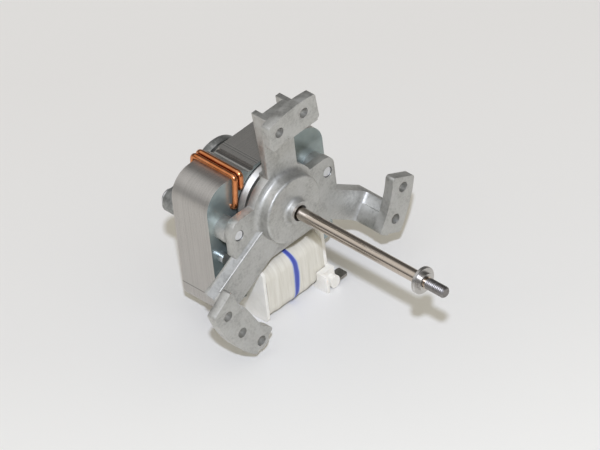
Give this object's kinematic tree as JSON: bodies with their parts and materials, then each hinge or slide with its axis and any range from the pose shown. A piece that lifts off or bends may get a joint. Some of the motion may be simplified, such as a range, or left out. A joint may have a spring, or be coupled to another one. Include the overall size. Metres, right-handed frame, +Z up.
{
  "type": "fan motor",
  "caption": "Open shaded pole fan motor: laminated core with a taped coil, die cast three arm front bracket with drilled flanges, long shaft with a threaded end",
  "frame": {"origin": "on the shaft axis, in the plane of the front faces of the three drilled flanges", "axes": "the shaft points along -Y, +Z is up with the coil below the core, +X is to the right seen from the shaft end"},
  "size_m": [0.106, 0.1271, 0.101],
  "materials": {
    "cast_aluminium_front": "rough",
    "cast_aluminium_rear": "rough",
    "stator_sheets": "satin",
    "yoke_sheets": "satin",
    "rivet_steel": "satin",
    "shading_copper": "polished",
    "rotor_sheets": "satin",
    "cage_aluminium": "satin",
    "shaft_steel": "polished",
    "collar_steel": "satin",
    "sintered_bronze": "satin",
    "oil_felt": "soft",
    "retainer_steel": "satin",
    "washer_plastic": "matte",
    "screw_steel": "satin",
    "bobbin_nylon": "matte",
    "winding_copper": "polished",
    "coil_tape": "matte",
    "marking_tape": "matte",
    "tab_tin": "satin"
  },
  "bodies": {
    "stator": {"front_bracket": "cast_aluminium_front", "rear_bracket": "cast_aluminium_rear", "stator_core": "stator_sheets", "yoke_bar": "yoke_sheets", "core_rivets": "rivet_steel", "shading_ring_upper_outer": "shading_copper", "shading_ring_upper_inner": "shading_copper", "shading_ring_lower_outer": "shading_copper", "shading_ring_lower_inner": "shading_copper", "front_bush": "sintered_bronze", "rear_bush": "sintered_bronze", "front_oil_felt": "oil_felt", "rear_oil_felt": "oil_felt", "front_retainer": "retainer_steel", "rear_retainer": "retainer_steel", "bracket_screws": "screw_steel", "bobbin": "bobbin_nylon", "winding": "winding_copper", "tape_wrap": "coil_tape", "marking_band": "marking_tape", "front_terminal_tab": "tab_tin", "rear_terminal_tab": "tab_tin"},
    "rotor": {"rotor_core": "rotor_sheets", "rotor_cage": "cage_aluminium", "shaft": "shaft_steel", "shaft_collar": "collar_steel", "front_thrust_washer": "washer_plastic", "rear_thrust_washer": "washer_plastic"}
  },
  "joints": [
    {"name": "rotor_spin", "type": "hinge", "parent": "stator", "child": "rotor", "pos_m": [0, 0, 0], "axis": [0, -1, 0], "continuous": true}
  ]
}
